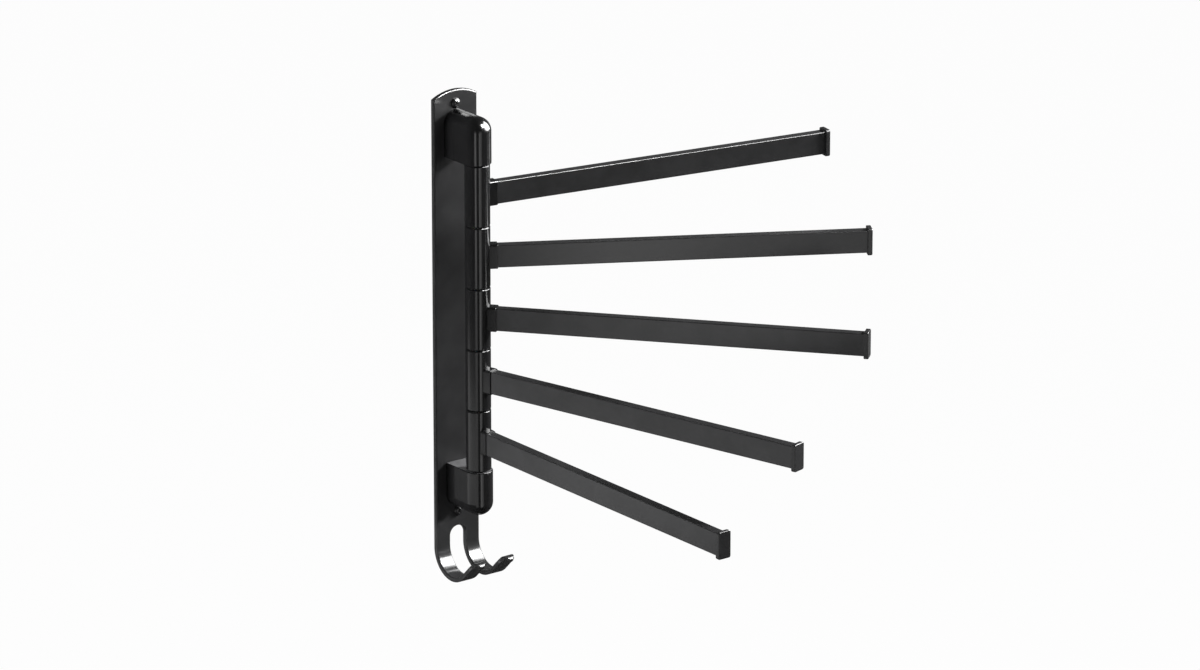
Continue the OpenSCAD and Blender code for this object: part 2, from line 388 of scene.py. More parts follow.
@dataclass(frozen=True)
class MouldedCap(Finish):
    """Black moulded cap with a fine spark texture."""

    grain_swing: float = 0.1
    grain_depth_mm: float = 0.006


@dataclass(frozen=True)
class BlackedSteel(Finish):
    """Blacked screw steel, a little brighter where a driver has rubbed it."""

    patch_mm: float = 1.2
    patch_detail: float = 3.0
    patch_rise: Optional[Point] = (0.35, 0.75)
    patch_swing: float = 0.12
    tint: Point = (0.75, 1.5)
    grain_mm: float = 0.12
    grain_detail: float = 1.0
    grain_depth_mm: float = 0.003
    plain: tuple[tuple[str, float], ...] = (("Metallic", 0.35),)


@dataclass(frozen=True)
class TurnedSteel(Finish):
    """Bright steel with fine turning rings along its axis."""

    patch_mm: float = 5.0
    tint: Point = (0.85, 1.08)
    grain_mm: float = 0.18
    grain_detail: float = 1.0
    grain_stretch: Place = (0.02, 0.02, 1.0)
    grain_swing: float = 0.15
    plain: tuple[tuple[str, float], ...] = (("Metallic", 1.0),)


@dataclass(frozen=True)
class Nylon(Finish):
    """Natural nylon of the bushes, faintly waxy."""

    patch_mm: float = 3.0
    tint: Point = (0.94, 1.02)
    grain_mm: float = 3.0
    grain_swing: float = 0.1
    grain_depth_mm: float = 0.01
    plain: tuple[tuple[str, float], ...] = (("Subsurface Weight", 0.15), ("Subsurface Scale", 0.0008))


# Mesh code


def show(name: str, data: Any) -> bpy.types.Object:
    """Makes an object of its data and links it to the scene.

    Args:
        name: Its name.
        data: Its mesh, lamp or camera.

    Returns:
        The object.
    """
    made = bpy.data.objects.new(name, data)
    bpy.context.scene.collection.objects.link(made)
    return made


def settled_mesh(name: str, mesh: bmesh.types.BMesh) -> bpy.types.Mesh:
    """Turns a mesh that was worked on into an object's mesh, and frees it.

    Args:
        name: The new mesh's name.
        mesh: The mesh that was worked on.

    Returns:
        The object's mesh.
    """
    data = bpy.data.meshes.new(name)
    mesh.to_mesh(data)
    mesh.free()
    return data


def closed_ring(count: int, point: Any) -> Ring:
    """A ring of points, one for each step of a full turn.

    Args:
        count: How many points.
        point: Gives the point at an angle in radians.

    Returns:
        The points.
    """
    return [Vector(point(2 * math.pi * k / count)) for k in range(count)]


def circle(count: int, radius: float, height: float, out: float = 0.0) -> Ring:
    """A level round ring by its sizes in millimetres, its middle moved along Y by out."""
    return closed_ring(count, lambda a: (
        radius * MM * math.cos(a), (radius * math.sin(a) + out) * MM, height * MM))


def quarter(steps: int) -> list[float]:
    """Angles of a quarter turn in radians, to two places, for the points round a small edge."""
    return [round(math.pi / 2 * k / steps, 2) for k in range(steps + 1)]


def arc(centre: Point, radius: float, start: float, end: float, steps: int) -> Outline:
    """Points of an arc in a plane, from one angle in degrees to another, ends included."""
    turns = [math.radians(start + (end - start) * k / steps) for k in range(steps + 1)]
    return [(centre[0] + radius * math.cos(t), centre[1] + radius * math.sin(t)) for t in turns]


def rounded_section(x: float, height: float, thick: float, radius: float, steps: int = 5) -> Ring:
    """Ring of a rectangle with round corners, across an arm at a distance from its pivot.

    Args:
        x: Distance from the pivot axis.
        height: Size up and down.
        thick: Size across.
        radius: Radius of the corners.
        steps: Edges in each corner.

    Returns:
        Its points, in metres.
    """
    flat: Outline = []
    for sy, sz, start in ((1, 1, 0), (-1, 1, 90), (-1, -1, 180), (1, -1, 270)):
        centre = (sy * (thick / 2 - radius), sz * (height / 2 - radius))
        flat += arc(centre, radius, start, start + 90, steps)
    return [Vector((x, y, z)) * MM for y, z in flat]


class Shape:
    """A mesh that is built up from rings and closed."""

    def __init__(self, name: str) -> None:
        """Starts an empty mesh under the piece's name."""
        self.name = name
        self.mesh = bmesh.new()

    def skin(self, rows: Sequence[list[bmesh.types.BMVert]]) -> None:
        """Joins each closed row of corners to the next with a belt of quads.

        Args:
            rows: The rows, of as many corners each.
        """
        for low, high in zip(rows, rows[1:]):
            for k in range(len(low)):
                self.mesh.faces.new((low[k - 1], low[k], high[k], high[k - 1]))

    def ladder(self, rings: Sequence[Ring], loop: bool = False) -> None:
        """Skins successive rings of as many points with quads.

        Args:
            rings: The rings, in order.
            loop: Whether the last ring joins the first; else both are closed with a face.
        """
        rows = [[self.mesh.verts.new(p) for p in ring] for ring in rings]
        self.skin(rows + [rows[0]] if loop else rows)
        if not loop:
            self.mesh.faces.new(rows[0])
            self.mesh.faces.new(rows[-1])

    def lathe(self, profile: Sequence[Point], segments: int = 64, loop: bool = True) -> None:
        """Turns a profile of (radius, height) in millimetres about +Z.

        Args:
            profile: The points, in order.
            segments: Faces round the turn.
            loop: Whether the profile is a closed outline; else its ends are closed with faces.
        """
        self.ladder([circle(segments, radius, height) for radius, height in profile], loop)

    def turn(self, matrix: Matrix) -> None:
        """Moves what is built so far."""
        self.mesh.transform(matrix)

    def take(self, piece: bpy.types.Object) -> None:
        """Adds a piece's mesh, and removes that piece."""
        self.mesh.from_mesh(piece.data)
        bpy.data.objects.remove(piece)

    def piece(self, smooth_below: float = 40.0) -> bpy.types.Object:
        """Closes the work on the shape, its faces smooth.

        Args:
            smooth_below: Angle in degrees from which an edge is sharp.

        Returns:
            The finished object.
        """
        bmesh.ops.remove_doubles(self.mesh, verts=self.mesh.verts, dist=WELD)
        bmesh.ops.recalc_face_normals(self.mesh, faces=self.mesh.faces)
        data = settled_mesh(self.name, self.mesh)
        data.shade_smooth()
        data.set_sharp_from_angle(angle=math.radians(smooth_below))
        return show(self.name, data)


def settle(piece: bpy.types.Object) -> bpy.types.Object:
    """Turns what a piece's modifiers give into its plain mesh, and removes them.

    Args:
        piece: The piece.

    Returns:
        The same object.
    """
    graph = bpy.context.evaluated_depsgraph_get()
    graph.update()
    mesh = bpy.data.meshes.new_from_object(piece.evaluated_get(graph), depsgraph=graph)
    piece.modifiers.clear()
    old, piece.data = piece.data, mesh
    bpy.data.meshes.remove(old)
    mesh.name = piece.name
    return piece


def even_normals(piece: bpy.types.Object) -> None:
    """Gives flat faces their own normal right up to their rounded edges.

    Args:
        piece: The piece, which has no modifiers.
    """
    weighted = piece.modifiers.new("even normals", "WEIGHTED_NORMAL")
    weighted.mode, weighted.weight, weighted.keep_sharp = "FACE_AREA", 100, True
    settle(piece)


def carve(piece: bpy.types.Object, cutter: bpy.types.Object) -> bpy.types.Object:
    """Cuts one piece's shape out of another, and removes the cutter.

    Args:
        piece: What is cut.
        cutter: What is cut out of it.

    Returns:
        The cut piece.
    """
    cut = piece.modifiers.new("cut", "BOOLEAN")
    cut.operation, cut.solver, cut.object = "DIFFERENCE", "EXACT", cutter
    settle(piece)
    bpy.data.objects.remove(cutter)
    return piece


# Geometry Nodes


class NodeForm:
    """A Geometry Nodes group with named inputs, which ends in Realize Instances and Set Material."""

    def __init__(self, name: str, **kinds: str) -> None:
        """Starts the group with its geometry in and out and its material.

        Args:
            name: The group's name.
            kinds: Its further inputs by name, each with its socket's kind.
        """
        self.tree = bpy.data.node_groups.new(name, "GeometryNodeTree")
        self.graph = Graph(self.tree)
        face = self.tree.interface
        face.new_socket("Geometry", in_out="OUTPUT", socket_type="NodeSocketGeometry")
        for key, kind in {"geometry": "Geometry", "finish": "Material", **kinds}.items():
            face.new_socket(self.label(key), in_out="INPUT", socket_type=f"NodeSocket{kind}")
        self.keys = {item.name: item.identifier for item in face.items_tree if item.in_out == "INPUT"}
        self.read = self.graph.node("NodeGroupInput")

    @staticmethod
    def label(key: str) -> str:
        """An input's name as its socket shows it."""
        return key.replace("_", " ").capitalize()

    def value(self, key: str) -> Sock:
        """One of the named inputs inside the group."""
        return self.read[self.label(key)]

    def vector(self, **parts: Any) -> Sock:
        """A vector of its X, Y and Z."""
        return self.graph.node("ShaderNodeCombineXYZ", {}, parts)[0]

    def position(self) -> Outputs:
        """X, Y and Z of each point."""
        spot = self.graph.node("GeometryNodeInputPosition")[0]
        return self.graph.node("ShaderNodeSeparateXYZ", {}, {"Vector": spot})

    def close(self, geometry: Sock) -> None:
        """Ends the group with Realize Instances and Set Material.

        Args:
            geometry: What the group has made.
        """
        real = self.graph.node("GeometryNodeRealizeInstances", {}, {"Geometry": geometry})[0]
        done = self.graph.node("GeometryNodeSetMaterial", {}, {
            "Geometry": real, "Material": self.value("finish")})[0]
        self.graph.node("NodeGroupOutput", {}, {"Geometry": done})

    def apply(self, piece: bpy.types.Object, finish: Finish, **values: Any) -> bpy.types.Object:
        """Runs the group on a piece and turns the result into its plain mesh.

        Args:
            piece: What the group starts from.
            finish: What it is dressed in.
            values: The named inputs.

        Returns:
            The same object.
        """
        modifier = piece.modifiers.new(self.tree.name, "NODES")
        modifier.node_group = self.tree
        for key, value in {"finish": finish.material(), **values}.items():
            modifier[self.keys[self.label(key)]] = value
        return settle(piece)


class ArmPlacer(NodeForm):
    """Puts a piece that was built along +X on the pivot, at one arm's level and swing."""

    def __init__(self) -> None:
        """Builds the group."""
        super().__init__("place on the pivot", level="Float", swing="Float", pivot_out="Float")
        placed = self.graph.node("GeometryNodeTransform", {}, {
            "Geometry": self.value("geometry"),
            "Translation": self.vector(Y=-self.value("pivot_out"), Z=self.value("level")),
            "Rotation": self.vector(Z=-self.value("swing"))})[0]
        self.close(placed)


class ScrewRow(NodeForm):
    """Repeats one screw, which points along +Y, in a row up from a height and in its mirror image below."""

    def __init__(self) -> None:
        """Builds the group."""
        super().__init__("row of screws", first="Float", pitch="Float", count="Int", reach_in="Float")
        line = self.graph.node("GeometryNodeMeshLine", {"mode": "OFFSET", "count_mode": "TOTAL"}, {
            "Count": self.value("count"), "Offset": self.vector(Z=self.value("pitch")),
            "Start Location": self.vector(Y=self.value("reach_in"), Z=self.value("first"))})[0]
        row = self.graph.node("GeometryNodeInstanceOnPoints", {}, {
            "Points": line, "Instance": self.value("geometry")})[0]
        upper = self.graph.node("GeometryNodeRealizeInstances", {}, {"Geometry": row})[0]
        parts = self.position()
        lower = self.graph.node("GeometryNodeSetPosition", {}, {
            "Geometry": upper, "Position": self.vector(X=-parts["X"], Y=parts["Y"], Z=-parts["Z"])})[0]
        both = self.graph.node("GeometryNodeJoinGeometry")
        for half in (upper, lower):
            self.tree.links.new(half.link, both.made.inputs[0])
        self.close(both[0])


class SheetBend(NodeForm):
    """Bends a flat upright sheet, whose back is at Y = 0, into a J with a curled tip.

    The sheet follows its back face: straight down to the bend's start, round the J, along the lip,
    round the curl the other way, and straight again to its end.
    """

    def __init__(self) -> None:
        """Builds the group."""
        super().__init__("bend the hooks", start="Float", outer_radius="Float", turn="Float", lip="Float",
                         curl_radius="Float", curl_arm="Float", curl_turn="Float")
        parts = self.position()
        start, radius, turn, lip = (self.value(key) for key in ("start", "outer_radius", "turn", "lip"))
        curl, arm, curl_turn = (self.value(key) for key in ("curl_radius", "curl_arm", "curl_turn"))
        depth = -parts["Y"]
        down = start - parts["Z"]
        bend = down.between(0.0, radius * turn)
        past = down - radius * turn
        along = past.between(0.0, lip)
        past = past - lip
        back = past.between(0.0, arm * curl_turn)
        tail = (past - arm * curl_turn).most(0.0)
        first = bend / radius
        heading = first - back / arm
        y = ((radius + curl) * first.cos() - radius - curl * heading.cos() - along * turn.sin()
             - tail * heading.sin() - depth * heading.cos())
        z = (start + (-down).most(0.0) - (radius + curl) * first.sin() + curl * heading.sin()
             - along * turn.cos() - tail * heading.cos() + depth * heading.sin())
        moved = self.graph.node("GeometryNodeSetPosition", {}, {
            "Geometry": self.value("geometry"), "Position": self.vector(X=parts["X"], Y=y, Z=z)})[0]
        self.close(moved)


# The rack's sizes and finishes


COAT_BLACK: Place = (0.032, 0.032, 0.033)
COAT = SheetCoat("stoved_black_coat", "black_coat", COAT_BLACK, 0.36, plain=(("Specular IOR Level", 0.13),))
CAST = StovedCoat("glossy_black_casting", "black_coat", (0.0105, 0.0105, 0.011), 0.17, grain_depth_mm=0.002)
# A lighter copy of the casting's colour for the brackets' flat faces: painted light standing in for the lit
# top of the lower bracket.
PAINTED_LIT_FACE = StovedCoat("painted_lit_face_casting", "black_coat", (0.13, 0.13, 0.134), 0.45)
CAP = MouldedCap("moulded_black_cap", "black_cap", (0.028, 0.028, 0.029), 0.26)
SCREW = BlackedSteel("blacked_screw_steel", "black_screw", (0.03, 0.03, 0.031), 0.24)
STEEL = TurnedSteel("turned_bright_steel", "steel", (0.62, 0.63, 0.65), 0.28)
SPRING = TurnedSteel("plain_spring_steel", "spring_steel", (0.5, 0.5, 0.52), 0.34)
NYLON = Nylon("natural_nylon", "nylon", (0.85, 0.85, 0.82), 0.45)


def tube_coat(arm: int, swing: float) -> DrawnCoat:
    """The coat of one arm's bar, its die lines turned along the bar."""
    return DrawnCoat(f"drawn_black_coat_{arm}", "black_bar", COAT_BLACK, 0.22, swing)


@dataclass(frozen=True)
class Stack:
    """Levels and distances that the sub-assemblies share, in millimetres."""

    plate_w: float = 46.0
    plate_t: float = 4.0
    pivot_out: float = 34.5
    pitch: float = 55.0
    gap: float = 0.5
    bracket_h: float = 41.0
    bracket_r: float = 12.3
    screw_gap: float = 0.5
    pan_r: float = 4.5
    bracket_screws: Point = (9.0, 25.0)
    swings: tuple[float, ...] = (10.0, 30.0, 50.0, 75.0, 90.0)

    @property
    def bracket_z(self) -> float:
        """Height of the upper bracket's flat face."""
        return len(self.swings) * self.pitch / 2 + self.gap / 2

    @property
    def screw_z(self) -> float:
        """Height of the upper wall screw."""
        return self.bracket_z + self.bracket_h + self.pan_r + self.screw_gap

    def place(self, arm: int) -> dict[str, float]:
        """An arm's level, swing and pivot as ArmPlacer's inputs, from its number."""
        level, swing = ((len(self.swings) + 1) / 2 - arm) * self.pitch, self.swings[arm - 1]
        return {"level": level * MM, "swing": math.radians(swing), "pivot_out": self.pivot_out * MM}


@dataclass
class BackPlate:
    """The back plate with its arched top and the two hooks, one bent sheet with rounded front edges."""

    stack: Stack
    top_rise: float = 6.0
    top_margin: float = 12.0
    slot_w: float = 16.0
    slot_drop: float = 14.0
    hook_drop: float = 29.5
    hook_r: float = 21.0
    hook_turn: float = 135.0
    lip: float = 18.0
    curl_r: float = 1.0
    curl_turn: float = 90.0
    tab: float = 2.0
    tip_side_r: float = 12.0
    tip_w: float = 4.0
    front_edge_r: float = 1.5
    back_edge_r: float = 0.4
    front_edge_steps: int = 5
    back_edge_steps: int = 2
    arch_steps: int = 40
    slot_steps: int = 24
    taper_run: float = 14.0
    taper_steps: int = 28
    bend_cuts: int = 54
    curl_cuts: int = 18
    wall_hole_r: float = 2.8
    screw_hole_r: float = 2.2
    sink_depth: float = 2.05
    sink_r_behind: float = 5.25
    hole_steps: int = 48
    hole_past: float = 1.0

    def path(self, down: float, depth: float) -> Point:
        """Where the bent sheet takes a point of the flat one.

        Args:
            down: Distance below the start of the bend.
            depth: Distance from the back face.

        Returns:
            Its (y, z), z from the start of the bend.
        """
        radius = self.hook_r + self.stack.plate_t
        turn, arm = math.radians(self.hook_turn), self.curl_r + self.stack.plate_t
        first = min(max(down, 0.0), radius * turn) / radius
        past = down - radius * turn
        along = min(max(past, 0.0), self.lip)
        curl = min(max(past - self.lip, 0.0), arm * math.radians(self.curl_turn)) / arm
        tail = max(past - self.lip - arm * math.radians(self.curl_turn), 0.0)
        heading = first - curl
        y = (radius + self.curl_r) * math.cos(first) - radius - self.curl_r * math.cos(heading)
        z = max(-down, 0.0) - (radius + self.curl_r) * math.sin(first) + self.curl_r * math.sin(heading)
        y -= along * math.sin(turn) + tail * math.sin(heading) + depth * math.cos(heading)
        z -= along * math.cos(turn) + tail * math.cos(heading) - depth * math.sin(heading)
        return y, z

    def reach(self) -> float:
        """Length of the flat sheet below the start of the bend."""
        radius, arm = self.hook_r + self.stack.plate_t, self.curl_r + self.stack.plate_t
        return radius * math.radians(self.hook_turn) + self.lip + arm * math.radians(self.curl_turn) + self.tab

    def taper(self, prong: float) -> Outline:
        """Half width and height down one prong, round its tapering tip.

        Args:
            prong: The prong's full width.

        Returns:
            The points, from the start of the taper to the tip.
        """
        middle = self.stack.plate_t / 2
        bend_z = -self.stack.screw_z - self.hook_drop
        length = self.reach()
        tip_out = self.path(length, middle)[0]
        cut = (prong - self.tip_w) / 2
        run = math.sqrt(2 * self.tip_side_r * cut - cut * cut)
        points: Outline = []
        for k in range(self.taper_steps + 1):
            down = length - (run + self.taper_run) * (1 - k / self.taper_steps)
            off = tip_out + run - self.path(down, middle)[0]
            if off > 0:
                width = prong / 2 - self.tip_side_r + math.sqrt(max(self.tip_side_r ** 2 - off * off, 0.0))
                points.append((max(width, self.tip_w / 2), bend_z - down))
        return points

    def outline(self) -> Outline:
        """Outline of the flat sheet.

        Returns:
            Its points as (x, z), anticlockwise from the right end of the arch.
        """
        s = self.stack
        half = s.plate_w / 2
        arch = (half * half + self.top_rise ** 2) / (2 * self.top_rise)
        spread = math.degrees(math.asin(half / arch))
        top = arc((0.0, s.screw_z + self.top_margin - arch), arch, 90 - spread, 90 + spread, self.arch_steps)
        prong = (s.plate_w - self.slot_w) / 2
        middle = (s.plate_w - prong) / 2
        taper = self.taper(prong)
        left = [(-middle - w, z) for w, z in taper] + [(-middle + w, z) for w, z in reversed(taper)]
        slot_top = -s.screw_z - self.slot_drop - self.slot_w / 2
        slot = arc((0.0, slot_top), self.slot_w / 2, 180, 0, self.slot_steps)
        right = [(middle - w, z) for w, z in taper] + [(middle + w, z) for w, z in reversed(taper)]
        return top + left + slot + right

    def sheet(self) -> bpy.types.Object:
        """Makes the flat sheet and rounds its edges.

        Returns:
            The sheet, without holes.
        """
        shape = Shape("back_plate_sheet")
        mesh, outline, front_y = shape.mesh, self.outline(), -self.stack.plate_t
        back, front = ([mesh.verts.new(Vector((x, y, z)) * MM) for x, z in outline] for y in (0.0, front_y))
        mesh.faces.new(front)
        mesh.faces.new(list(reversed(back)))
        shape.skin([front, back])
        bmesh.ops.recalc_face_normals(mesh, faces=mesh.faces)
        for y, radius, steps in ((front_y, self.front_edge_r, self.front_edge_steps),
                                 (0.0, self.back_edge_r, self.back_edge_steps)):
            rim = [e for e in mesh.edges if all(abs(v.co.y - y * MM) < WELD for v in e.verts)]
            bmesh.ops.bevel(mesh, geom=rim, offset=radius * MM, offset_type="OFFSET", segments=steps,
                            profile=0.5, affect="EDGES", clamp_overlap=True)
        return shape.piece()

    def holes(self) -> bpy.types.Object:
        """Makes the holes for the wall screws and the sinks for the bracket screws.

        Returns:
            Their cutter.
        """
        s, past = self.stack, self.hole_past
        front = -s.plate_t - past
        hole = ((self.wall_hole_r, front), (self.wall_hole_r, past))
        sink = ((self.screw_hole_r, front), (self.screw_hole_r, -self.sink_depth), (self.sink_r_behind, past))
        places = [(hole, s.screw_z)] + [(sink, s.bracket_z + height) for height in s.bracket_screws]
        shape = Shape("plate_holes")
        for sign in (-1, 1):
            for rows, z in places:
                shape.ladder([closed_ring(self.hole_steps, lambda a: (
                    r * MM * math.cos(a), y * MM, (sign * z + r * math.sin(a)) * MM)) for r, y in rows])
        return shape.piece()

    def slice_bends(self, piece: bpy.types.Object) -> None:
        """Cuts the flat sheet across, finely where it will bend.

        Args:
            piece: The sheet.
        """
        s = self.stack
        bend = (self.hook_r + s.plate_t) * math.radians(self.hook_turn)
        curl = (self.curl_r + s.plate_t) * math.radians(self.curl_turn)
        places = [bend * k / self.bend_cuts for k in range(self.bend_cuts + 1)]
        places += [bend + self.lip + curl * k / self.curl_cuts for k in range(self.curl_cuts + 1)]
        mesh = bmesh.new()
        mesh.from_mesh(piece.data)
        for down in places:
            height = (-s.screw_z - self.hook_drop - down) * MM
            whole = list(mesh.verts) + list(mesh.edges) + list(mesh.faces)
            bmesh.ops.bisect_plane(mesh, geom=whole, dist=WELD, plane_co=(0, 0, height), plane_no=(0, 0, 1))
        mesh.to_mesh(piece.data)
        mesh.free()

    def build(self) -> None:
        """Makes the bent plate and puts it in place of its CAD node."""
        s = self.stack
        piece = carve(self.sheet(), self.holes())
        self.slice_bends(piece)
        SheetBend().apply(
            piece, COAT,
            start=-(s.screw_z + self.hook_drop) * MM, outer_radius=(self.hook_r + s.plate_t) * MM,
            turn=math.radians(self.hook_turn), lip=self.lip * MM, curl_radius=self.curl_r * MM,
            curl_arm=(self.curl_r + s.plate_t) * MM, curl_turn=math.radians(self.curl_turn))
        put(piece, COAT, "rack", "back_plate")


@dataclass
class Bracket:
    """One of the two brackets that hold the pivot: arched, domed in front, flat towards the arms."""

    stack: Stack
    edge_r: float = 0.7
    recess_r: float = 8.65
    recess_d: float = 1.25
    seat_r: float = 4.05
    seat_d: float = 22.0
    edge_steps: int = 5
    crest_steps: int = 24
    front_steps: int = 40
    bore_steps: int = 64
    level_enough: float = 0.99
    flat_within: float = 0.1
    smooth_below: float = 50.0

    def half_profile(self) -> Outline:
        """Profile from the flat face's edge to the crest.

        Returns:
            Its points as (distance from the middle, height).
        """
        s = self.stack
        edge = arc((s.bracket_r - self.edge_r, self.edge_r), self.edge_r, -90, 0, self.edge_steps)
        return edge + arc((0.0, s.bracket_h - s.bracket_r), s.bracket_r, 0, 90, self.crest_steps)

    def casting(self, name: str) -> Shape:
        """The closed shell of the upper bracket, its flat face at Z = 0 and bored for the rod.

        Args:
            name: Its name.

        Returns:
            The shape, before it is lifted to its place.
        """
        s = self.stack
        shape = Shape(name)
        mesh = shape.mesh
        profile = self.half_profile()
        stations = [(-s.plate_t, 180.0)]
        stations += [(-s.pivot_out, 180.0 + 180.0 * k / self.front_steps) for k in range(self.front_steps + 1)]
        stations.append((-s.plate_t, 360.0))
        rows = []
        for y, turn in stations:
            way = Vector((math.cos(math.radians(turn)), math.sin(math.radians(turn)), 0.0))
            rows.append([mesh.verts.new((Vector((0.0, y, h)) + way * r) * MM) for r, h in profile])
        for left, right in zip(rows, rows[1:]):
            for k in range(len(profile) - 1):
                mesh.faces.new((left[k], left[k + 1], right[k + 1], right[k]))
        mesh.faces.new(rows[0] + list(reversed(rows[-1][:-1])))
        bmesh.ops.remove_doubles(mesh, verts=mesh.verts, dist=WELD)
        rim = [e for e in mesh.edges if len(e.link_faces) == 1]
        hollow = ((self.recess_r, 0.0), (self.recess_r, self.recess_d),
                  (self.seat_r, self.recess_d), (self.seat_r, self.seat_d))
        rings = [[mesh.verts.new(p) for p in circle(self.bore_steps, r, h, -s.pivot_out)] for r, h in hollow]
        shape.skin(rings)
        mesh.faces.new(rings[-1])
        mouth = [mesh.edges.get((rings[0][k - 1], rings[0][k])) for k in range(self.bore_steps)]
        bmesh.ops.triangle_fill(mesh, use_beauty=True, edges=rim + mouth, normal=(0, 0, -1))
        return shape

    def build(self, upper: bool) -> None:
        """Makes one bracket, and gives its flat face a lighter copy of its colour: painted light for the lower
        bracket's lit top.

        Args:
            upper: Whether it is the one above the arms.
        """
        name = "top_bracket" if upper else "bottom_bracket"
        flat_z = self.stack.bracket_z * MM
        shape = self.casting(f"{name}_casting")
        lift = Matrix.Translation((0.0, 0.0, flat_z))
        shape.turn(lift if upper else Matrix.Scale(-1.0, 4, (0, 0, 1)) @ lift)
        piece = put(shape.piece(self.smooth_below), CAST, "rack", name)
        piece.data.materials.append(PAINTED_LIT_FACE.material())
        # The flat faces take the lighter colour, painted light for the lower bracket's lit top; the upper
        # bracket's underside gets it too.
        for face in piece.data.polygons:
            off = abs(abs(face.center.z) - flat_z)
            if abs(face.normal.z) > self.level_enough and off < self.flat_within * MM:
                face.material_index = 1


class Drive(Enum):
    """How a screw is driven."""

    CROSS = "cross"
    HEX = "hex"


@dataclass
class Screws:
    """Every screw of the rack: wall screws, bracket screws and the set screws under the bars."""

    stack: Stack
    axis_r: float = 0.2
    lap: float = 0.1
    pan_h: float = 3.0
    pan_rim: float = 0.15
    crown_r: float = 5.625
    crown_end: float = 88.0
    crown_steps: int = 12
    shank_steps: int = 48
    wall_shank_r: float = 2.6
    wall_thread_r: float = 2.4
    wall_end: float = 22.0
    wall_pitch: float = 1.7
    wall_point: float = 4.8
    wall_drive: Point = (5.175, 1.9)
    sunk_r: float = 4.0
    sunk_rim: Point = (0.15, 0.12)
    sunk_d: float = 2.1
    sunk_in: float = 0.2
    bracket_start: float = 2.0
    bracket_end: float = 15.8
    bracket_drive: Point = (4.4, 1.6)
    metric_r: float = 2.0
    metric_pitch: float = 0.7
    set_len: float = 6.0
    set_drive: Point = (2.3, 2.0)
    set_place: Point = (26.0, -10.0)
    thread_steps: int = 32
    thread_rows: int = 10
    thread_core: float = 0.8
    thread_flank: float = 3.2
    point_tip: float = 0.02
    blade_share: float = 0.13
    blade_root: float = 1.6
    floor_share: float = 0.3
    hex_floor: float = 1.25
    past: float = 1.0
    smooth_below: float = 32.0

    def recess(self, drive: Drive, width: float, depth: float, top: float) -> bpy.types.Object:
        """Cutter of a driver's recess, its mouth at a height above Z = 0.

        Args:
            drive: Its form.
            width: Across the cross, or across the hexagon's corners, in millimetres.
            depth: How deep it goes.
            top: Height of its mouth.

        Returns:
            The cutter, which reaches a little past the mouth.
        """
        shape = Shape("driver_recess")
        half, floor, end = width / 2, self.floor_share, top + self.past
        if drive is Drive.HEX:
            levels = ((half * floor, top - depth * self.hex_floor), (half, top - depth), (half, end))
            shape.ladder([circle(6, r, z) for r, z in levels])
            return shape.piece()
        blade = width * self.blade_share
        inner = blade * self.blade_root
        outline: Ring = []
        for quarter_turn in range(4):
            turn = Matrix.Rotation(math.radians(90 * quarter_turn), 3, "Z")
            outline += [turn @ Vector(p) for p in ((half, -blade, 0), (half, blade, 0), (inner, inner, 0))]
        levels = ((floor, top - depth), (1.0, top), (1.0 + self.past / depth * (1 - floor), end))
        shape.ladder([[Vector((p.x * share, p.y * share, z)) * MM for p in outline] for share, z in levels])
        return shape.piece()

    def thread(self, shape: Shape, radius: float, low: float, high: float, pitch: float,
               point: float = 0.0) -> None:
        """Adds a screw thread along Z.

        Args:
            shape: What it is added to.
            radius: Outer radius in millimetres.
            low: Height where it starts.
            high: Height where it ends.
            pitch: Rise of one turn.
            point: Length of the pointed end at its low side.
        """
        rows = int((high - low) / pitch * self.thread_rows) + 1
        rings = []
        for k in range(rows + 1):
            z = low + (high - low) * k / rows
            share = min(1.0, (z - low) / point + self.point_tip) if point else 1.0

            def place(a: float) -> Place:
                """Point of the thread at an angle.

                Args:
                    a: The angle in radians.

                Returns:
                    The point, in metres.
                """
                phase = (z / pitch - a / (2 * math.pi)) % 1.0
                ridge = max(0.0, 1.0 - abs(phase - 0.5) * self.thread_flank)
                r = radius * (self.thread_core + (1 - self.thread_core) * ridge) * share
                return r * MM * math.cos(a), r * MM * math.sin(a), z * MM

            rings.append(closed_ring(self.thread_steps, place))
        shape.ladder(rings)

    def wall_screw(self) -> bpy.types.Object:
        """Makes a wall screw.

        Returns:
            The screw, its head towards -Y and the head's flat face at Y = 0.
        """
        r, middle, rim = self.stack.pan_r, self.pan_h - self.crown_r, self.pan_rim
        side = middle + math.sqrt(self.crown_r ** 2 - r * r)
        crown_start = math.degrees(math.acos(r / self.crown_r))
        crown = arc((0.0, middle), self.crown_r, crown_start, self.crown_end, self.crown_steps)
        blank = Shape("wall_screw")
        blank.lathe([(self.axis_r, 0.0), (r - rim, 0.0), (r, rim), (r, side - self.lap)] + crown, loop=False)
        shape = Shape("wall_screws_cross_head")
        shape.take(carve(blank.piece(), self.recess(Drive.CROSS, *self.wall_drive, self.pan_h)))
        end, start = -self.stack.plate_t, self.lap
        shape.lathe([(self.axis_r, start), (self.wall_shank_r, start),
                     (self.wall_shank_r, end), (self.axis_r, end)], self.shank_steps, loop=False)
        self.thread(shape, self.wall_thread_r, -self.wall_end, end, self.wall_pitch, self.wall_point)
        shape.turn(Matrix.Rotation(math.radians(90), 4, "X"))
        return shape.piece(self.smooth_below)

    def bracket_screw(self) -> bpy.types.Object:
        """Makes a countersunk screw.

        Returns:
            The screw, its flat head at Y = 0 and its thread towards -Y.
        """
        (rim_in, rim_down), foot = self.sunk_rim, -self.sunk_d
        blank = Shape("bracket_screw")
        blank.lathe([(self.axis_r, 0.0), (self.sunk_r - rim_in, 0.0), (self.sunk_r, -rim_down),
                     (self.metric_r, foot), (self.axis_r, foot)], loop=False)
        shape = Shape("bracket_screws_countersunk")
        shape.take(carve(blank.piece(), self.recess(Drive.CROSS, *self.bracket_drive, 0.0)))
        self.thread(shape, self.metric_r, -self.bracket_end, -self.bracket_start, self.metric_pitch)
        shape.turn(Matrix.Rotation(math.radians(-90), 4, "X"))
        return shape.piece(self.smooth_below)

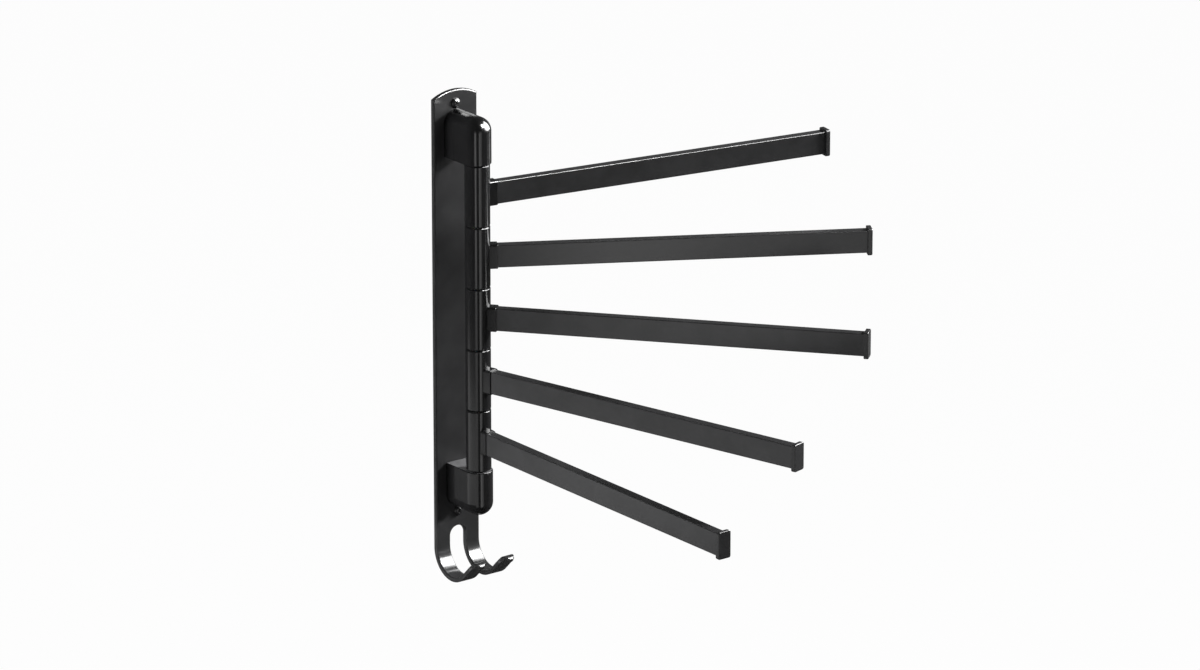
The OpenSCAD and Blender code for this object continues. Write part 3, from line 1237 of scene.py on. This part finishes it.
    def set_screw(self, arm: int) -> bpy.types.Object:
        """Makes the set screw of one arm.

        Args:
            arm: The arm's number.

        Returns:
            The screw, along +Z from the bar's underside, before it is placed.
        """
        over = Matrix.Rotation(math.radians(180), 4, "X")
        x, z = self.set_place
        blank = Shape("set_screw")
        self.thread(blank, self.metric_r, 0.0, self.set_len, self.metric_pitch)
        blank.turn(over)
        shape = Shape(f"set_screw_{arm}_hex")
        shape.take(carve(blank.piece(), self.recess(Drive.HEX, *self.set_drive, 0.0)))
        shape.turn(Matrix.Translation((x * MM, 0.0, z * MM)) @ over)
        return shape.piece(self.smooth_below)

    def build(self, placer: ArmPlacer) -> None:
        """Makes all the screws.

        Args:
            placer: Puts a piece on an arm.
        """
        s = self.stack
        row = ScrewRow()
        walls = row.apply(self.wall_screw(), SCREW, first=s.screw_z * MM, pitch=0.0, count=1,
                          reach_in=-s.plate_t * MM)
        put(walls, SCREW, "rack", "wall_screws")
        lower, upper = s.bracket_screws
        sunk = row.apply(self.bracket_screw(), SCREW, first=(s.bracket_z + lower) * MM,
                         pitch=(upper - lower) * MM, count=2, reach_in=-self.sunk_in * MM)
        put(sunk, SCREW, "rack", "bracket_screws")
        for arm in range(1, len(s.swings) + 1):
            piece = placer.apply(self.set_screw(arm), SCREW, **s.place(arm))
            put(piece, SCREW, f"arm_{arm}", f"set_screw_{arm}")


@dataclass
class SwingArm:
    """One arm: its barrel with the root socket, its bar, its end cap and its bushes."""

    arm: int
    stack: Stack
    barrel_r: float = 11.0
    barrel_edge: float = 1.2
    barrel_steps: int = 96
    barrel_edge_steps: int = 4
    bore_r: float = 6.07
    counterbore_r: float = 8.47
    counterbore_d: float = 1.4
    bar_h: float = 20.0
    bar_t: float = 9.0
    bar_edge_r: float = 0.8
    bar_inset: float = 1.3
    socket_start: float = 8.0
    socket_end: float = 17.0
    socket_floor: float = 12.0
    socket_lip: float = 1.0
    socket_edge: float = 0.35
    socket_edge_steps: int = 4
    slip: float = 0.1
    spigot_len: float = 18.0
    root: float = 1.0
    reach: float = 340.5
    cap_len: float = 4.0
    cap_lip: float = 2.0
    cap_corner_r: float = 1.8
    cap_corner_steps: int = 6
    cap_edge: float = 0.7
    cap_edge_steps: int = 5
    cap_inner_edge: float = 0.35
    cap_inner_steps: int = 3
    tongue_len: float = 14.0

    def section(self, x: float, larger: float, radius: float, steps: int = 5) -> Ring:
        """The bar's section at a distance from the pivot, larger on every side by a measure."""
        return rounded_section(x, self.bar_h + 2 * larger, self.bar_t + 2 * larger, radius, steps)

    def plug(self, shape: Shape, start: float, end: float) -> None:
        """Adds a plug that fits inside the bar, from one distance to another."""
        shape.ladder([self.section(x, -self.bar_inset, self.bar_edge_r) for x in (start, end)])

    def barrel(self) -> bpy.types.Object:
        """Makes the barrel, bored and counterbored, and its root socket with the spigot.

        Returns:
            The barrel, before it is placed.
        """
        shape = Shape(f"swivel_barrel_{self.arm}_turned")
        half, edge = (self.stack.pitch - self.stack.gap) / 2, self.barrel_edge
        shoulder = half - self.counterbore_d
        upper = arc((self.barrel_r - edge, half - edge), edge, 0, 90, self.barrel_edge_steps)
        upper += [(self.counterbore_r, half), (self.counterbore_r, shoulder), (self.bore_r, shoulder)]
        shape.lathe(upper + [(x, -z) for x, z in reversed(upper)], self.barrel_steps)
        lip, edge = self.socket_lip, self.socket_edge
        steps = [(self.socket_start, 0.0)]
        steps += [(self.socket_end - edge + edge * math.sin(a), edge - edge * math.cos(a))
                  for a in quarter(self.socket_edge_steps)]
        rings = [self.section(x, lip - down, self.bar_edge_r + lip - down) for x, down in steps]
        rings += [self.section(x, self.slip, self.bar_edge_r) for x in (self.socket_end, self.socket_floor)]
        shape.ladder(rings)
        self.plug(shape, self.socket_floor - self.root, self.socket_end + self.spigot_len)
        return shape.piece()

    def cap(self) -> bpy.types.Object:
        """Makes the end cap with its rounded rim, and its tongue inside the bar.

        Returns:
            The cap, before it is placed.
        """
        shape = Shape(f"end_cap_{self.arm}_moulded")
        start, inner, outer = self.reach - self.cap_len, self.cap_inner_edge, self.cap_edge
        steps = [(start + inner * (1 - math.cos(a)), inner * (1 - math.sin(a)))
                 for a in quarter(self.cap_inner_steps)]
        steps += [(self.reach - outer + outer * math.sin(a), outer * (1 - math.cos(a)))
                  for a in quarter(self.cap_edge_steps)]
        shape.ladder([self.section(x, self.cap_lip - down, self.cap_corner_r - down, self.cap_corner_steps)
                      for x, down in steps])
        self.plug(shape, start - self.tongue_len, start + self.root)
        return shape.piece()

    def build(self, placer: ArmPlacer) -> None:
        """Makes the arm's pieces and dresses its CAD nodes.

        Args:
            placer: Puts a piece on the arm.
        """
        where = self.stack.place(self.arm)
        body = f"arm_{self.arm}"
        put(placer.apply(self.barrel(), CAST, **where), CAST, body, f"swivel_barrel_{self.arm}")
        put(placer.apply(self.cap(), CAP, **where), CAP, body, f"end_cap_{self.arm}")
        dress(f"bar_{self.arm}", tube_coat(self.arm, where["swing"]))
        dress(f"pivot_bushes_{self.arm}", NYLON)


def dress(node: str, finish: Finish) -> None:
    """Gives a CAD node that stays its finish.

    Args:
        node: The node's name.
        finish: What it is dressed in.
    """
    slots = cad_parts[node].data.materials
    slots.clear()
    slots.append(finish.material())
    LOG.info("dressed %s in %s", node, finish.name)


def put(piece: bpy.types.Object, finish: Finish, body: str, *nodes: str) -> bpy.types.Object:
    """Evens a piece's normals, dresses it, makes it ride on its body and lets it stand for CAD nodes.

    Args:
        piece: The piece, in place.
        finish: What it is dressed in.
        body: The body that it moves with.
        nodes: The CAD nodes that it replaces.

    Returns:
        The same object.
    """
    even_normals(piece)
    piece.data.materials.clear()
    piece.data.materials.append(finish.material())
    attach(piece, body)
    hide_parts(*nodes)
    LOG.info("%s rides on %s for %s: %d faces", piece.name, body, ", ".join(nodes), len(piece.data.polygons))
    return piece


# Studio


@dataclass(frozen=True)
class Panel:
    """A soft studio light that gloss does not show: its place, its size, and how bright its face is."""

    name: str
    place: Place
    width: float
    height: float
    radiance: float
    aim: Place = (0.0, -0.03, 0.0)

    def build(self) -> None:
        """Makes the light, turned towards its aim."""
        way = (Vector(self.place) - Vector(self.aim)).normalized()
        data = bpy.data.lights.new(self.name, "AREA")
        data.shape, data.size, data.size_y = "RECTANGLE", self.width, self.height
        data.energy = self.radiance * math.pi * self.width * self.height
        made = show(self.name, data)
        made.location = self.place
        made.rotation_mode = "QUATERNION"
        made.rotation_quaternion = way.to_track_quat("Z", "Y")
        made.visible_camera = made.visible_glossy = False


def afar(azimuth: float, elevation: float, distance: float) -> Place:
    """A point at a distance from the origin. Azimuth is counted from +X towards +Y, in degrees."""
    a, e = math.radians(azimuth), math.radians(elevation)
    return (distance * math.cos(e) * math.cos(a), distance * math.cos(e) * math.sin(a), distance * math.sin(e))


@dataclass(frozen=True)
class Card:
    """A dark or bright card round the rack, from one azimuth to another, that only its gloss shows."""

    name: str
    start: float
    end: float
    low: float = -1.0
    high: float = 0.28
    low_r: float = 1.1
    high_r: float = 1.1
    tone: float = 0.04
    face_turn: float = 6.0

    def build(self) -> None:
        """Makes the card: upright, or lying flat where both its edges are as high."""
        mesh = bmesh.new()
        steps = max(2, int(abs(self.end - self.start) / self.face_turn))
        rows = []
        for k in range(steps + 1):
            a = math.radians(self.start + (self.end - self.start) * k / steps)
            rows.append([mesh.verts.new((r * math.cos(a), r * math.sin(a), z))
                         for r, z in ((self.low_r, self.low), (self.high_r, self.high))])
        for left, right in zip(rows, rows[1:]):
            mesh.faces.new((left[0], right[0], right[1], left[1]))
        look, graph = blank_look(self.name)
        card = graph.node("ShaderNodeEmission", {}, {"Color": (self.tone, self.tone, self.tone, 1.0)})[0]
        graph.node("ShaderNodeOutputMaterial", {}, {"Surface": card})
        made = show(self.name, settled_mesh(self.name, mesh))
        made.data.materials.append(look)
        made.visible_camera = made.visible_diffuse = made.visible_shadow = False


@dataclass
class Studio:
    """Floor, world, lights, cards and the camera at the photograph's place, in metres and degrees."""

    floor_z: float = -1.2
    floor_half: float = 14.0
    floor_parts: int = 8
    floor_tone: float = 0.5
    floor_seen: float = 0.975
    dome_tone: float = 0.7
    dome_dims: float = 0.62
    dome_rise: Point = (0.02, 0.16)
    yaw: float = -37.51
    pitch: float = 18.18
    eye: Place = (-3.54163, -4.81985, 1.93866)
    focal_px: float = 7319.02
    frame_w: int = 1200
    sensor_w: float = 36.0
    seen_from: float = 0.1
    seen_to: float = 100.0
    panels: tuple[Panel, ...] = (
        Panel("key light", afar(-20.0, 24.3, 2.4), 0.38, 0.38, 275.0),
        Panel("right wash", afar(8.0, 30.0, 2.2), 1.2, 1.0, 1.8),
        Panel("back light", afar(112.0, 22.0, 2.2), 1.3, 0.9, 1.0),
        Panel("left fill", afar(152.0, 4.0, 2.4), 1.6, 1.6, 8.5),
    )
    cards: tuple[Card, ...] = (
        Card("right flag", -88.0, -62.0, tone=0.12),
        Card("plate flag", -62.0, -44.0, high=0.1),
        Card("low right flag", -44.0, 22.0, high=0.1, tone=0.1),
        Card("front flag", -131.0, -111.0),
        Card("left flag above", -240.0, -203.0, low=-0.39),
        Card("left front flag above", -203.0, -146.0, low=-0.43),
        Card("left flag below", -203.0, -146.0, high=-0.58),
        Card("left flag behind", -240.0, -230.5, high=-0.39),
        Card("left flag under arms", -230.5, -203.0, high=-0.6),
        Card("back flag", -340.0, -240.0, high=0.2),
        Card("floor flag", 0.0, 360.0, high=-1.0, low_r=0.02),
        Card("key card", -40.0, -4.0, low=0.12, high=1.3, tone=26.0),
        Card("middle key card", -49.0, -40.0, low=0.2, high=1.3, tone=26.0),
        Card("left key card", -57.0, -49.0, low=0.3, high=1.35, tone=26.0),
        Card("upper key card", -74.0, -57.0, low=0.75, high=1.6, tone=80.0),
        Card("left strip card", -144.0, -135.0, low=-0.3, high=0.0, low_r=1.08, high_r=1.08, tone=2.2),
        Card("lower left strip card", -149.0, -129.0, low=-0.9, high=-0.3, low_r=1.08, high_r=1.08, tone=0.8),
        Card("right strip card", -109.0, -101.0, low=-0.9, high=0.0, low_r=1.08, high_r=1.08, tone=1.9),
    )

    def camera(self) -> None:
        """Makes the camera."""
        a, e = math.radians(self.yaw), math.radians(self.pitch)
        back = Vector((math.sin(a) * math.cos(e), -math.cos(a) * math.cos(e), math.sin(e)))
        right = Vector((math.cos(a), math.sin(a), 0.0))
        up = back.cross(right)
        data = bpy.data.cameras.new("photo camera")
        data.sensor_width, data.sensor_fit = self.sensor_w, "HORIZONTAL"
        data.lens = self.focal_px / self.frame_w * self.sensor_w
        data.clip_start, data.clip_end = self.seen_from, self.seen_to
        made = show("photo camera", data)
        made.matrix_world = Matrix.Translation(self.eye) @ Matrix((right, up, back)).transposed().to_4x4()
        bpy.context.scene.camera = made

    def floor(self) -> None:
        """Makes the plain pale floor, white in the picture and in the rack's gloss."""
        mesh = bmesh.new()
        parts = self.floor_parts
        bmesh.ops.create_grid(mesh, x_segments=parts, y_segments=parts, size=self.floor_half,
                              matrix=Matrix.Translation((0, 0, self.floor_z)))
        look, graph = blank_look("pale studio floor")
        rays = graph.node("ShaderNodeLightPath")
        seen = (rays["Is Camera Ray"] + rays["Is Glossy Ray"] + rays["Is Transmission Ray"]).least(1.0)
        tone = (self.floor_tone, self.floor_tone, self.floor_tone, 1.0)
        lit = graph.node("ShaderNodeBsdfDiffuse", {}, {"Color": tone})[0]
        plain = graph.node("ShaderNodeEmission", {}, {"Color": (1.0, 1.0, 1.0, 1.0)})[0]
        both = graph.node("ShaderNodeMixShader", {}, {0: seen * self.floor_seen, 1: lit, 2: plain})[0]
        clear = graph.node("ShaderNodeBsdfTransparent")[0]
        under = graph.node("ShaderNodeNewGeometry")["Backfacing"]
        done = graph.node("ShaderNodeMixShader", {}, {0: under, 1: both, 2: clear})[0]
        graph.node("ShaderNodeOutputMaterial", {}, {"Surface": done})
        made = show("studio floor", settled_mesh("studio floor", mesh))
        made.data.materials.append(look)

    def world(self) -> None:
        """Makes a plain dome that is pale at the horizon and dims upwards."""
        world = bpy.data.worlds.new("studio dome")
        bpy.context.scene.world = world
        world.use_nodes = True
        graph = Graph(world.node_tree)
        way = graph.node("ShaderNodeTexCoord")["Generated"]
        up = graph.node("ShaderNodeSeparateXYZ", {}, {"Vector": way})["Z"]
        tone = self.dome_tone - up.ease(*self.dome_rise) * self.dome_dims
        pale = graph.node("ShaderNodeCombineColor", {}, {"Red": tone, "Green": tone, "Blue": tone})[0]
        sky = graph.node("ShaderNodeBackground", {}, {"Color": pale, "Strength": 1.0})[0]
        graph.node("ShaderNodeOutputWorld", {}, {"Surface": sky})

    def build(self) -> None:
        """Makes the whole studio."""
        self.camera()
        self.floor()
        self.world()
        for piece in (*self.panels, *self.cards):
            piece.build()
        bpy.context.scene.view_settings.view_transform = "Standard"


def main() -> None:
    """Builds the rack's sub-assemblies in order."""
    logging.basicConfig(level=logging.INFO, format="%(message)s")
    stack = Stack()
    Studio().build()
    BackPlate(stack).build()
    for upper in (True, False):
        Bracket(stack).build(upper)
    placer = ArmPlacer()
    for arm in range(1, len(stack.swings) + 1):
        SwingArm(arm, stack).build(placer)
    Screws(stack).build(placer)
    dress("pivot_rod", STEEL)
    dress("friction_spring", SPRING)
    dress("thrust_washer", STEEL)


if __name__ == "__main__":
    main()
